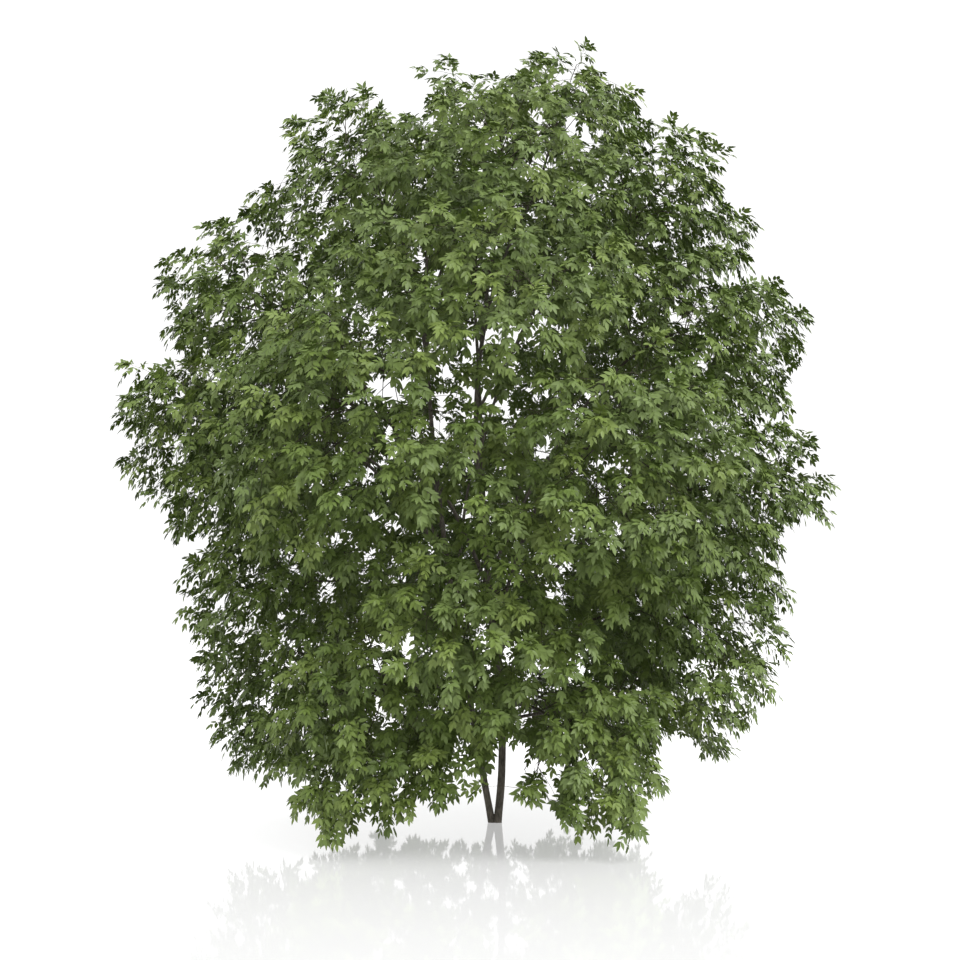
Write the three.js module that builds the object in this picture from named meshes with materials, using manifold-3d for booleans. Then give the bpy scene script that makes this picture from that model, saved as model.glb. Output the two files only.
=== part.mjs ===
// A two-stemmed ash-leaved maple in full leaf, about six metres tall.
// Two stems rise in a V from one root, carry ascending boughs, and each bough ends in a mass of foliage.
// Units are millimetres, +Z is up, and the origin is the middle of the main stem's cut at ground level.
import * as THREE from "three";
import { mergeVertices } from "three/addons/utils/BufferGeometryUtils.js";
import Module from "manifold-3d";

// Driving dimensions
const HEIGHT = 6000;
const CROWN_AXIS_X = -150; // the crown's middle stands left of the main stem's foot
const GROUND_CLEARANCE = 25;

// The crown's lower edge, which dips to the ground where sprays hang at two places [x, y]
const LOWER_EDGE = 340;
const HANGING = [[-1060, -1500], [800, -1600]];
const HANGING_SPREAD = 850;
const EDGE_STEP = 20;

// Joints between separate solids, and the clearances that keep each mass in its own space
const SEAT_GAP = 0.3;
const CELL_MARGIN = 4;
const LEAF_TO_LIMB = 85;
const TWIG_TO_LIMB = 30;

// Stems: a cubic in height for the sideways path, in metres so that the factors stay readable
const STEM_SIDES = 10;
const STEM_STEPS = 14;
const FLARE_HEIGHT = 60;
const STEMS = [
  { name: "stem_right", foot: [0, 0], top: 4700, base: 29, tip: 11, flare: 4,
    lean: 0.137, bow: -0.147, recurve: 0.028, drift: -0.045 },
  { name: "stem_left", foot: [-40, 0], top: 4550, base: 26, tip: 10, flare: 4,
    lean: -0.19, bow: 0.0007, recurve: 0.0037, drift: 0.06 },
];

// Tiers of foliage from the ground up. Each mass fills a ball, and its pole is its outermost point: pole is
// that point's height, reach its distance from the tier's middle, and middle the x of that middle. slant is
// how much higher the tier stands on the left than in the middle. tilt is the rise of a mass's axis, rise the
// slope of its bough, and turn the bearing of the tier's first mass from +X.
const TIERS = [
  { name: "skirt", count: 6, pole: 670, reach: 1960, middle: -210, slant: 150,
    radius: 930, tilt: -15, rise: 30, turn: -60, bough: 13 },
  { name: "low", count: 5, pole: 1550, reach: 2240, middle: -100, slant: 120,
    radius: 1150, tilt: -2, rise: 36, turn: 270, bough: 15 },
  { name: "middle", count: 7, pole: 2750, reach: 2630, middle: -180, slant: 300,
    radius: 1200, tilt: 6, rise: 46, turn: 195, bough: 15 },
  { name: "high", count: 5, pole: 3900, reach: 2390, middle: -150, slant: 60,
    radius: 1150, tilt: 22, rise: 56, turn: 270, bough: 13 },
  { name: "crest", count: 5, pole: 5150, reach: 1680, middle: 0, slant: 90,
    radius: 1050, tilt: 44, rise: 60, turn: 270, bough: 12 },
];
// The two stem tips carry the tops of the crown
const TOPS = [
  { name: "top_right", stem: 0, pole: [660, 0, HEIGHT], radius: 800 },
  { name: "top_left", stem: 1, pole: [-480, 100, 5690], radius: 780 },
];
const BOUGH_SIDES = 5;
const BOUGH_STEPS = 4;
const BOUGH_TIP = 11;
const BOUGH_ENTRY = 0.22; // a bough ends this share of the mass's radius short of its middle
const ATTACH_LOW = 640;
const ATTACH_SPACING = 90; // between neighbouring boughs up a stem

// Twigs and leaves of one mass. Each leaf stands for a leafy spray.
const TWIGS = 5;
const LEAVES_PER_TWIG = 9;
const MASS_STEM_REACH = 0.5;
const MASS_STEM_STEPS = 3;
const MASS_STEM_TIP = 9;
const TWIG_RADIUS = 6.5;
const TWIG_TIP = 5.5;
const TWIG_OPEN_FOOT = 82; // from the mass's axis, for its first twig
const TWIG_OPEN_TIP = 40;
const TWIG_SHARE = 0.7; // of the run to the edge of the mass's space
const TWIG_LONGEST = 1250;
const TWIG_SHORTEST = 150;
const LEAF_LENGTH = 920;
const LEAF_WIDTH = 600;
const LEAF_THICKNESS = 18;
const LEAF_WIDEST = 0.42;
const LEAF_SIZES = [1, 0.82, 0.66, 0.52]; // the largest of these shares that fits is taken
const LEAF_SHORTEST = 0.68; // of the smallest size's length, where the space ends a leaf
const LEAF_SPACING = 268; // between the middles of two leaves of one mass
const LEAF_TURN = 52; // from its twig, to alternate sides
const LEAF_ROLL = 80;
const LEAF_DROOP = 1;
const LEAF_ROOT_DEPTH = 2.5;

// Openings seen from the front: sky between the boughs, and the bare foot of the stems.
// Each is a circle on the plane through the stems, [x, z, radius], seen from the eye point.
const EYE = new THREE.Vector3(-128, -9820, 1500);
const GAPS = [[-780, 3260, 170], [-510, 3570, 140], [330, 3800, 150], [-1670, 2040, 110], [150, 380, 230]];

const BARK = new THREE.MeshStandardMaterial({ color: 0x453f38, roughness: 0.9, metalness: 0 });
const LEAF = new THREE.MeshStandardMaterial({ color: 0x54692f, roughness: 0.6, metalness: 0 });

const UP = new THREE.Vector3(0, 0, 1);
const GOLDEN_ANGLE = Math.PI * (3 - Math.sqrt(5));
const radians = THREE.MathUtils.degToRad;
const lerp = THREE.MathUtils.lerp;

const wasm = await Module();
wasm.setup();

// Repeatable random numbers from 0 to 1
function seededRandom(seed) {
  let state = seed >>> 0;
  return () => {
    state = (state + 0x6d2b79f5) >>> 0;
    let t = Math.imul(state ^ (state >>> 15), state | 1);
    t ^= t + Math.imul(t ^ (t >>> 7), t | 61);
    return ((t ^ (t >>> 14)) >>> 0) / 4294967296;
  };
}

// Middle of a stem at a height
function stemPoint(stem, z) {
  const m = z / 1000;
  const x = stem.lean * m + stem.bow * m ** 2 + stem.recurve * m ** 3;
  return new THREE.Vector3(stem.foot[0] + 1000 * x, stem.foot[1] + 1000 * stem.drift * m, z);
}

function stemRadius(stem, z) {
  const taper = stem.tip + (stem.base - stem.tip) * (1 - z / stem.top) ** 0.85;
  return taper + stem.flare * Math.exp(-z / FLARE_HEIGHT);
}

// A cylinder whose rings are moved onto a limb's path. ringAt gives each ring's middle, two axes and radius.
function limbGeometry(ringAt, sides, steps) {
  const geometry = new THREE.CylinderGeometry(1, 1, 1, sides, steps);
  geometry.deleteAttribute("normal");
  geometry.deleteAttribute("uv");
  const rings = Array.from({ length: steps + 1 }, (_, i) => ringAt(i / steps));
  const position = geometry.attributes.position;
  for (let i = 0; i < position.count; i++) {
    const ring = rings[Math.round((position.getY(i) + 0.5) * steps)];
    const point = ring.middle.clone()
      .addScaledVector(ring.across, position.getX(i) * ring.radius)
      .addScaledVector(ring.over, position.getZ(i) * ring.radius);
    position.setXYZ(i, point.x, point.y, point.z);
  }
  return mergeVertices(geometry, 1e-4);
}

// Two axes square to a direction, such that across x direction = over
function squareAxes(direction) {
  const reference = Math.abs(direction.z) > 0.95 ? new THREE.Vector3(0, 1, 0) : UP;
  const across = new THREE.Vector3().crossVectors(direction, reference).normalize();
  return { across, over: new THREE.Vector3().crossVectors(across, direction) };
}

// A limb along a curve, its rings square to the curve. A three-sided twig has a flat face up.
function curvedLimb(curve, footRadius, tipRadius, sides, steps) {
  return limbGeometry((t) => {
    const radius = lerp(footRadius, tipRadius, t);
    const { across, over } = squareAxes(curve.getTangent(t));
    return { middle: curve.getPoint(t), radius, across: across.negate(), over: over.negate() };
  }, sides, steps);
}

// A stem has level rings, so that its foot is a flat cut. grown is how far its surface is moved out.
function stemGeometry(stem, grown = 0) {
  const across = new THREE.Vector3(0, 1, 0);
  const over = new THREE.Vector3(1, 0, 0);
  return limbGeometry((t) => {
    const z = stem.top * t ** 1.25 + grown * (2 * t - 1);
    const inside = THREE.MathUtils.clamp(z, 0, stem.top);
    const middle = stemPoint(stem, inside).setZ(z);
    return { middle, across, over, radius: stemRadius(stem, inside) + grown };
  }, STEM_SIDES, STEM_STEPS);
}

function solidOf(geometry) {
  const merged = mergeVertices(geometry, 1e-4);
  return new wasm.Manifold(new wasm.Mesh({
    numProp: 3,
    vertProperties: merged.attributes.position.array,
    triVerts: new Uint32Array(merged.index.array),
  }));
}

function geometryOf(solid) {
  const mesh = solid.getMesh();
  const geometry = new THREE.BufferGeometry();
  geometry.setAttribute("position", new THREE.BufferAttribute(mesh.vertProperties, 3));
  geometry.setIndex(new THREE.BufferAttribute(mesh.triVerts, 1));
  geometry.computeVertexNormals();
  return geometry;
}

// The largest piece of a solid, without loose scraps
function largestPiece(solid) {
  return solid.decompose().reduce((best, piece) => (piece.volume() > best.volume() ? piece : best));
}

// Places of the masses: the middle of each one's space, its axis, and its radius
function placeMasses() {
  const masses = [];
  for (const tier of TIERS) {
    for (let k = 0; k < tier.count; k++) {
      const bearing = radians(tier.turn + (360 * k) / tier.count);
      const outward = new THREE.Vector3(Math.cos(bearing), Math.sin(bearing), 0);
      const axis = outward.clone().multiplyScalar(Math.cos(radians(tier.tilt)));
      axis.z = Math.sin(radians(tier.tilt));
      const pole = new THREE.Vector3(tier.middle, 0, tier.pole - tier.slant * outward.x);
      pole.addScaledVector(outward, tier.reach);
      const centre = pole.addScaledVector(axis, -tier.radius);
      masses.push({ name: `${tier.name}_${k + 1}`, tier, centre, axis, radius: tier.radius });
    }
  }
  for (const top of TOPS) {
    const stem = STEMS[top.stem];
    const foot = stemPoint(stem, stem.top);
    const pole = new THREE.Vector3(...top.pole);
    const axis = pole.clone().sub(foot).normalize();
    const centre = pole.addScaledVector(axis, -top.radius);
    const { name, radius } = top;
    masses.push({ name, stem, foot, centre, axis, radius, footRadius: stem.tip, cutByStem: true });
  }
  masses.forEach((mass, i) => (mass.seed = 101 + 37 * i));
  return masses;
}

// The stem that carries a mass is the nearer one, and its bough leaves it lower by the bough's rise.
// Boughs that would leave a stem at the same height are spread up it.
function chooseAttachments(masses) {
  const tiered = masses.filter((mass) => mass.tier);
  for (const mass of tiered) {
    mass.entry = mass.centre.clone().addScaledVector(mass.axis, -BOUGH_ENTRY * mass.radius);
    const away = (stem) => {
      const at = stemPoint(stem, Math.min(mass.entry.z, stem.top));
      return Math.hypot(at.x - mass.entry.x, at.y - mass.entry.y);
    };
    mass.stem = away(STEMS[0]) < away(STEMS[1]) ? STEMS[0] : STEMS[1];
    const drop = away(mass.stem) * Math.tan(radians(mass.tier.rise));
    mass.attach = Math.min(mass.entry.z - drop, mass.stem.top - 500);
  }
  for (const stem of STEMS) {
    let lowest = ATTACH_LOW;
    const carried = tiered.filter((mass) => mass.stem === stem).sort((a, b) => a.attach - b.attach);
    for (const mass of carried) {
      mass.attach = Math.max(mass.attach, lowest);
      lowest = mass.attach + ATTACH_SPACING;
    }
  }
}

// A limb from a stem to an end point: it leaves the stem steeply and levels out
function arch(root, end) {
  const bend = root.clone().lerp(end, 0.42);
  bend.z = lerp(root.z, end.z, 0.62) + 0.05 * Math.hypot(end.x - root.x, end.y - root.y);
  return new THREE.QuadraticBezierCurve3(root, bend, end);
}

function addBoughs(masses) {
  const boughs = [];
  chooseAttachments(masses);
  for (const mass of masses.filter((m) => m.tier)) {
    const { stem, entry } = mass;
    const root = stemPoint(stem, mass.attach);
    const curve = arch(root, entry);
    boughs.push({ name: `bough_${mass.name}`, stem, curve, base: mass.tier.bough, tip: BOUGH_TIP });
    mass.foot = entry.clone().addScaledVector(curve.getTangent(1), SEAT_GAP);
    mass.footDirection = curve.getTangent(1);
    mass.footRadius = BOUGH_TIP;
  }
  return boughs;
}

// Points along every stem and bough with their radii, for the clearance tests
function limbSamples(boughs) {
  const samples = [];
  for (const stem of STEMS) {
    for (let z = 0; z <= stem.top; z += 40) samples.push([stemPoint(stem, z), stemRadius(stem, z)]);
  }
  for (const bough of boughs) {
    const count = Math.ceil(bough.curve.getLength() / 40);
    for (let i = 0; i <= count; i++) {
      samples.push([bough.curve.getPoint(i / count), lerp(bough.base, bough.tip, i / count)]);
    }
  }
  return samples;
}

function nearLimb(points, clearance, samples) {
  return points.some((p) => samples.some(([q, r]) => p.distanceTo(q) < r + clearance));
}

// Height of the crown's lower edge over a place
function lowerEdge(point) {
  const nearest = Math.min(...HANGING.map(([x, y]) => Math.hypot(point.x - x, point.y - y)));
  return lerp(GROUND_CLEARANCE, LOWER_EDGE, Math.min(1, nearest / HANGING_SPREAD) ** 2);
}

// True in the mass's own space: inside its ball, over the lower edge, and nearer to it than to any other mass
function inSpace(mass, point, masses) {
  if (point.z < lowerEdge(point) || point.distanceTo(mass.centre) > mass.radius) return false;
  return masses.every((other) => {
    if (other === mass) return true;
    const between = other.centre.distanceTo(mass.centre);
    const away = point.distanceToSquared(other.centre) - point.distanceToSquared(mass.centre);
    return away / (2 * between) > CELL_MARGIN;
  });
}

// How far a straight run from a point stays in the mass's space
function spaceReach(mass, point, direction, masses) {
  const offset = point.clone().sub(mass.centre);
  const along = offset.dot(direction);
  let reach = -along + Math.sqrt(Math.max(0, along * along + mass.radius ** 2 - offset.lengthSq()));
  for (const other of masses) {
    if (other === mass) continue;
    const apart = other.centre.clone().sub(mass.centre);
    const between = apart.length();
    const gone = direction.dot(apart) / between;
    const room = between / 2 - offset.dot(apart) / between - CELL_MARGIN;
    if (gone > 0) reach = Math.min(reach, room / gone);
  }
  const end = new THREE.Vector3();
  const endsTooLow = () => end.copy(point).addScaledVector(direction, reach).z < lowerEdge(end);
  while (reach > 0 && endsTooLow()) reach -= EDGE_STEP;
  return reach;
}

// True where a point, seen from the eye, stands in one of the openings
function inGap(point) {
  const share = (0 - EYE.y) / (point.y - EYE.y);
  const x = EYE.x + (point.x - EYE.x) * share;
  const z = EYE.z + (point.z - EYE.z) * share;
  return GAPS.some(([gx, gz, r]) => Math.hypot(x - gx, z - gz) < r);
}

// Axes across a leaf and square to its face. The face looks out of the crown and up, then rolls.
function leafAxes(root, direction, roll) {
  const outward = new THREE.Vector3(root.x - CROWN_AXIS_X, root.y, 0).normalize().addScaledVector(UP, 0.6);
  const across = new THREE.Vector3().crossVectors(direction, outward).normalize();
  across.applyAxisAngle(direction, roll);
  return { across, face: new THREE.Vector3().crossVectors(across, direction) };
}

// Points on a leaf for the clearance tests: its tip, its two sides, and three along its middle
function leafPoints({ root, direction, across, length, width }) {
  const along = (share) => root.clone().addScaledVector(direction, share * length);
  return [
    along(1),
    along(LEAF_WIDEST).addScaledVector(across, width / 2),
    along(LEAF_WIDEST).addScaledVector(across, -width / 2),
    along(0.22),
    along(0.72),
    along(LEAF_WIDEST),
  ];
}

// Where the straight line from one corner to the next passes through a leaf's blade
function lineCrossesLeaf(from, to, leaf) {
  const high = from.clone().sub(leaf.root).dot(leaf.face);
  const low = to.clone().sub(leaf.root).dot(leaf.face);
  if (high * low > 0) return false;
  const at = from.clone().lerp(to, high / (high - low)).sub(leaf.root);
  const share = at.dot(leaf.direction) / leaf.length;
  const halfWidth = (Math.min(share / LEAF_WIDEST, (1 - share) / (1 - LEAF_WIDEST)) * leaf.width) / 2;
  return Math.abs(at.dot(leaf.across)) < halfWidth;
}

// Two leaves cross where an edge of one passes through the other
function leavesCross(a, b) {
  const edgeThrough = (one, other) => {
    const [tip, left, right] = leafPoints(one);
    const outline = [one.root, left, tip, right];
    return outline.some((corner, i) => lineCrossesLeaf(corner, outline[(i + 1) % 4], other));
  };
  return edgeThrough(a, b) || edgeThrough(b, a);
}

// A blade of eight faces: an octahedron stretched along the leaf
function leafGeometry({ root, direction, across, face, length, width }) {
  const geometry = new THREE.OctahedronGeometry(1);
  geometry.deleteAttribute("normal");
  geometry.deleteAttribute("uv");
  const stations = [-LEAF_ROOT_DEPTH, LEAF_WIDEST * length, length];
  const position = geometry.attributes.position;
  for (let i = 0; i < position.count; i++) {
    const point = root.clone()
      .addScaledVector(direction, stations[Math.round(position.getY(i)) + 1])
      .addScaledVector(across, (position.getX(i) * width) / 2)
      .addScaledVector(face, (position.getZ(i) * LEAF_THICKNESS) / 2);
    position.setXYZ(i, point.x, point.y, point.z);
  }
  return mergeVertices(geometry, 1e-4);
}

// A place along a chain of straight pieces, at a share of its length in pieces
function alongChain(points, share) {
  const place = share * (points.length - 1);
  const piece = Math.min(Math.floor(place), points.length - 2);
  return points[piece].clone().lerp(points[piece + 1], place - piece);
}

// The stem of a mass carries on from its bough's tip and turns to the mass's axis
function massStem(mass) {
  const end = mass.centre.clone().addScaledVector(mass.axis, MASS_STEM_REACH * mass.radius);
  const bend = mass.foot.clone().lerp(end, 0.5);
  if (mass.footDirection) {
    bend.copy(mass.foot).addScaledVector(mass.footDirection, 0.45 * mass.foot.distanceTo(end));
  }
  return new THREE.QuadraticBezierCurve3(mass.foot, bend, end);
}

// A leaf fits where it stays in the mass's space, out of the openings, and clear of limbs and other leaves
function leafFits(leaf, mass, grown, plan) {
  const points = leafPoints(leaf);
  leaf.middle = points.at(-1);
  if (!points.every((p) => inSpace(mass, p, plan.masses)) || points.some(inGap)) return false;
  const crowds = (other) => other.middle.distanceTo(leaf.middle) < LEAF_SPACING || leavesCross(leaf, other);
  return !grown.leaves.some(crowds) && !nearLimb(points, LEAF_TO_LIMB, plan.samples);
}

// Adds the largest leaf that fits at a root, and tells whether one did
function addLeaf(root, heading, droop, mass, grown, plan) {
  const { random } = grown;
  const direction = heading.clone().addScaledVector(UP, -droop * (0.2 + 1.4 * random())).normalize();
  const longest = LEAF_LENGTH * (0.85 + 0.3 * random());
  const roll = radians(LEAF_ROLL * (2 * random() - 1));
  const reach = spaceReach(mass, root, direction, plan.masses);
  for (const size of LEAF_SIZES) {
    const length = Math.min(size * longest, 0.98 * reach);
    const width = (size * longest * LEAF_WIDTH) / LEAF_LENGTH;
    const leaf = { root, direction, length, width, ...leafAxes(root, direction, roll) };
    if (length > LEAF_SHORTEST * LEAF_SIZES.at(-1) * longest && leafFits(leaf, mass, grown, plan)) {
      grown.leaves.push(leaf);
      return true;
    }
  }
  return false;
}

// Leaves of a twig from its tip inwards: one straight on, then to alternate sides. Tells whether any fitted.
function addTwigLeaves(root, tip, mass, grown, plan) {
  const direction = tip.clone().sub(root).normalize();
  const sideways = new THREE.Vector3().crossVectors(direction, UP).normalize();
  let leafy = false;
  for (let n = LEAVES_PER_TWIG - 1; n >= 0; n--) {
    const last = n === LEAVES_PER_TWIG - 1;
    const turn = last ? 0 : radians(n % 2 ? LEAF_TURN : -LEAF_TURN);
    const heading = direction.clone().multiplyScalar(Math.cos(turn));
    heading.addScaledVector(sideways, Math.sin(turn));
    const leafRoot = root.clone().lerp(tip, lerp(0.4, 0.97, n / (LEAVES_PER_TWIG - 1)));
    if (addLeaf(leafRoot, heading, LEAF_DROOP, mass, grown, plan)) leafy = true;
  }
  return leafy;
}

// One mass by the growing rule: a stem, twigs round it by the golden angle, and leaves on the twigs
function growMass(mass, plan) {
  const random = seededRandom(mass.seed);
  const curve = massStem(mass);
  const chain = curve.getPoints(MASS_STEM_STEPS);
  const grown = { random, curve, twigs: [], leaves: [] };
  addLeaf(alongChain(chain, 0.97), mass.axis, 0, mass, grown, plan);
  const { across, over } = squareAxes(mass.axis);
  for (let k = 0; k < TWIGS; k++) {
    const share = (k + 0.5) / TWIGS;
    const root = alongChain(chain, 0.15 + 0.8 * share);
    const spin = k * GOLDEN_ANGLE + 0.2 * Math.PI * random() + mass.seed;
    const open = radians(lerp(TWIG_OPEN_FOOT, TWIG_OPEN_TIP, share) + 14 * (random() - 0.5));
    const direction = mass.axis.clone().multiplyScalar(Math.cos(open))
      .addScaledVector(across, Math.cos(spin) * Math.sin(open))
      .addScaledVector(over, Math.sin(spin) * Math.sin(open));
    const length = TWIG_SHARE * Math.min(spaceReach(mass, root, direction, plan.masses), TWIG_LONGEST);
    const tip = root.clone().addScaledVector(direction, length);
    const middle = root.clone().lerp(tip, 0.55);
    if (length < TWIG_SHORTEST || nearLimb([middle, tip], TWIG_TO_LIMB, plan.samples)) continue;
    if (addTwigLeaves(root, tip, mass, grown, plan)) grown.twigs.push({ root, tip });
  }
  return grown;
}

// The solid of a grown mass: a four-sided stem and three-sided twigs with the leaves fused on
function massSolid(mass, grown) {
  let solid = solidOf(curvedLimb(grown.curve, mass.footRadius, MASS_STEM_TIP, 4, MASS_STEM_STEPS));
  for (const { root, tip } of grown.twigs) {
    const line = new THREE.LineCurve3(root, tip);
    solid = solid.add(solidOf(curvedLimb(line, TWIG_RADIUS, TWIG_TIP, 3, 1)));
  }
  for (const leaf of grown.leaves) solid = solid.add(solidOf(leafGeometry(leaf)));
  if (mass.cutByStem) solid = solid.subtract(solidOf(stemGeometry(mass.stem, SEAT_GAP)));
  return largestPiece(solid);
}

function namedMesh(name, geometry, material) {
  const mesh = new THREE.Mesh(geometry, material);
  mesh.name = name;
  return mesh;
}

function buildPlant() {
  const plant = new THREE.Group();
  const [right, left] = STEMS;
  plant.add(namedMesh(right.name, stemGeometry(right), BARK));
  const seam = solidOf(stemGeometry(right, SEAT_GAP));
  plant.add(namedMesh(left.name, geometryOf(largestPiece(solidOf(stemGeometry(left)).subtract(seam))), BARK));

  const masses = placeMasses();
  const boughs = addBoughs(masses);
  for (const bough of boughs) {
    const limb = solidOf(curvedLimb(bough.curve, bough.base, bough.tip, BOUGH_SIDES, BOUGH_STEPS));
    const seated = largestPiece(limb.subtract(solidOf(stemGeometry(bough.stem, SEAT_GAP))));
    plant.add(namedMesh(bough.name, geometryOf(seated), BARK));
  }
  const plan = { masses, samples: limbSamples(boughs) };
  for (const mass of masses) {
    const solid = massSolid(mass, growMass(mass, plan));
    plant.add(namedMesh(`foliage_${mass.name}`, geometryOf(solid), LEAF));
  }
  return plant;
}

export default buildPlant();
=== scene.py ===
# A two-stemmed ash-leaved maple in full summer leaf, about six metres tall.
# Stems, boughs, twigs and leaves follow the growing rule of the solids, carried on to finer twigs.
# Units are metres, +Z is up, and the origin is the middle of the main stem's cut at ground level.
import math

import bpy
import numpy as np
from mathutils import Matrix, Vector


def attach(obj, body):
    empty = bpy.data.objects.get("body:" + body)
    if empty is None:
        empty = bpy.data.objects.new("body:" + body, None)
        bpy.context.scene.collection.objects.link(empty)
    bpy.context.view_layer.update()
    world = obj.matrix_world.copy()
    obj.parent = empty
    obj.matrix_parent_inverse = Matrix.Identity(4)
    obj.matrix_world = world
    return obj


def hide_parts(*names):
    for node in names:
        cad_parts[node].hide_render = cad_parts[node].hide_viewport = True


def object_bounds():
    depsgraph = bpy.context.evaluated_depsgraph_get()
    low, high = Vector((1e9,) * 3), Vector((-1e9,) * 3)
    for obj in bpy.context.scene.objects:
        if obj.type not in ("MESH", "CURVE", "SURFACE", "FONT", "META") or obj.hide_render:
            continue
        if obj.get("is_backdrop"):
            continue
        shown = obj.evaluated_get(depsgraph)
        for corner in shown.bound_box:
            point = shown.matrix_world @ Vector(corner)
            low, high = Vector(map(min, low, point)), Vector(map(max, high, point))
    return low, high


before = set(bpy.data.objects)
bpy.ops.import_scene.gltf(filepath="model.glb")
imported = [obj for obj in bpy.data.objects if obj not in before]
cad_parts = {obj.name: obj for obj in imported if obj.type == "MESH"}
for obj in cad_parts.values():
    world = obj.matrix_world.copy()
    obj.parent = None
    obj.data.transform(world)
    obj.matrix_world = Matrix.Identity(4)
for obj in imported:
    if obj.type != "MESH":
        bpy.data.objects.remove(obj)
cad_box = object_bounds()

# The solids' box, and how far leaves may stand proud of it
LOWEST_CORNER, HIGHEST_CORNER = np.array(cad_box)
PROUD = 0.11

# Driving sizes, the same as those of the solids
HEIGHT = 6.0
CROWN_AXIS_X = -0.15
GROUND_CLEARANCE = 0.025
CELL_MARGIN = 0.004
TWIG_TO_LIMB = 0.03
FIRST_SEED = 101
SEED_STEP = 37

# The crown's lower edge, which dips to the ground where sprays hang at two places [x, y]
LOWER_EDGE = 0.34
HANGING = np.array([[-1.06, -1.5], [0.8, -1.6]])
HANGING_SPREAD = 0.85
EDGE_STEP = 0.02
HANGING_END = 0.15
HANGING_DROP = 0.4
HANGING_SPRAYS = (0.35, 0.6, 0.8, 1.0)

# Stems: a cubic in height for the sideways path, a taper, and a flare at the foot
FLARE_HEIGHT = 0.06
STEM_TAPER = 0.85
STEMS = [
    dict(name="stem_right", foot=(0.0, 0.0), top=4.7, base=0.029, tip=0.011, flare=0.004,
         lean=0.137, bow=-0.147, recurve=0.028, drift=-0.045),
    dict(name="stem_left", foot=(-0.04, 0.0), top=4.55, base=0.026, tip=0.010, flare=0.004,
         lean=-0.19, bow=0.0007, recurve=0.0037, drift=0.06),
]

# Tiers of foliage from the ground up. Each mass fills a ball, and its pole is its outermost point: pole is
# that point's height, reach its distance from the tier's middle, and middle the x of that middle. slant is
# how much higher the tier stands on the left than in the middle. tilt is the rise of a mass's axis, rise the
# slope of its bough, and turn the bearing of the tier's first mass from +X.
TIERS = [
    dict(name="skirt", count=6, pole=0.67, reach=1.96, middle=-0.21, slant=0.15,
         radius=0.93, tilt=-15, rise=30, turn=-60, bough=0.013),
    dict(name="low", count=5, pole=1.55, reach=2.24, middle=-0.1, slant=0.12,
         radius=1.15, tilt=-2, rise=36, turn=270, bough=0.015),
    dict(name="middle", count=7, pole=2.75, reach=2.63, middle=-0.18, slant=0.3,
         radius=1.2, tilt=6, rise=46, turn=195, bough=0.015),
    dict(name="high", count=5, pole=3.9, reach=2.39, middle=-0.15, slant=0.06,
         radius=1.15, tilt=22, rise=56, turn=270, bough=0.013),
    dict(name="crest", count=5, pole=5.15, reach=1.68, middle=0.0, slant=0.09,
         radius=1.05, tilt=44, rise=60, turn=270, bough=0.012),
]
# The two stem tips carry the tops of the crown
TOPS = [
    dict(name="top_right", stem=0, pole=(0.66, 0.0, HEIGHT), radius=0.8),
    dict(name="top_left", stem=1, pole=(-0.48, 0.1, 5.69), radius=0.78),
]

# Boughs: where they leave their stems, and how they bend
BOUGH_TIP = 0.011
BOUGH_ENTRY = 0.22  # a bough ends this share of the mass's radius short of its middle
BOUGH_BEND = 0.42
BOUGH_BEND_RISE = 0.62
BOUGH_ARCH = 0.05
ATTACH_LOW = 0.64
ATTACH_SPACING = 0.09
STEM_TIP_BARE = 0.5
LIMB_STEP = 0.04
BOUGH_SAMPLES = 40

# Twigs of a mass: the solids' own first, then finer ones by the same rule
TWIGS = 5
FINE_TWIGS = 9
UPPER_FINE_TWIGS = 13
UPPER_FROM = 4.2
MASS_STEM_REACH = 0.5
MASS_STEM_BEND = 0.45
TWIG_FIRST = 0.15
TWIG_RUN = 0.8
TWIG_SPIN_PLAY = 0.2
TWIG_OPEN_FOOT = 82
TWIG_OPEN_TIP = 40
TWIG_OPEN_PLAY = 14
TWIG_SHARE = 0.7
TWIG_LONGEST = 1.25
TWIG_SHORTEST = 0.15
TWIG_TEST = 0.55
TWIG_ARCH = 0.06

# Shoots on a twig, each where the solids have a leaf
SHOOTS_PER_TWIG = 9
SHOOT_FIRST = 0.4
SHOOT_LAST = 0.97
SHOOT_LENGTH = 0.92
SHOOT_LENGTH_LEAST = 0.85
SHOOT_LENGTH_PLAY = 0.3
SHOOT_SHORTEST = 0.04
SHOOT_SPACE = 0.98
SHOOT_TURN = 52
SHOOT_ROLL = 80
SHOOT_DROOP_LEAST = 0.2
SHOOT_DROOP_PLAY = 1.4
OUTWARD_RISE = 0.6
SIDE_PLACES = (0.25, 0.45, 0.65, 0.85)
SIDE_LENGTH = 0.2
SIDE_LENGTH_LEAST = 0.7
SIDE_LENGTH_PLAY = 0.6
SIDE_AHEAD = 0.62
SIDE_ACROSS = 0.78
SIDE_ARCH = 0.02
# Shoots all round the tip of each upper bough and stem, which close the crown over its middle
TIP_SHOOTS = 20
TIP_OPEN = (10, 85)
TIP_DROOP = 0.15

# Finer wood: points along each path, sides round it, and radii
MASS_STEM_POINTS = 9
TWIG_POINTS = 7
SHOOT_POINTS = 5
SIDE_POINTS = 3
MASS_STEM_SIDES = 6
TWIG_SIDES = 5
SHOOT_SIDES = 3
MASS_STEM_TIP = 0.005
TWIG_FOOT_RADIUS = 0.0045
SHOOT_FOOT_RADIUS = 0.0027
SPRAY_FOOT_RADIUS = 0.0019
WOOD_TIP_RADIUS = 0.0008
STALK_WIDTH = 0.002

# Sprays: each ends a shoot or a side shoot. They stand closer together in the outer crown.
SPRAY_REACH = 0.14
SPRAY_MIDDLE = 0.3
SPRAY_LIFT = 0.5
CROWN_MIDDLE = np.array([CROWN_AXIS_X, 0.0, 3.0])
CROWN_REACH = np.array([2.55, 2.5, 3.1])
SPACING_DEPTHS = (0.4, 0.85)
SPRAY_SPACINGS = (0.275, 0.186)

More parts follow.
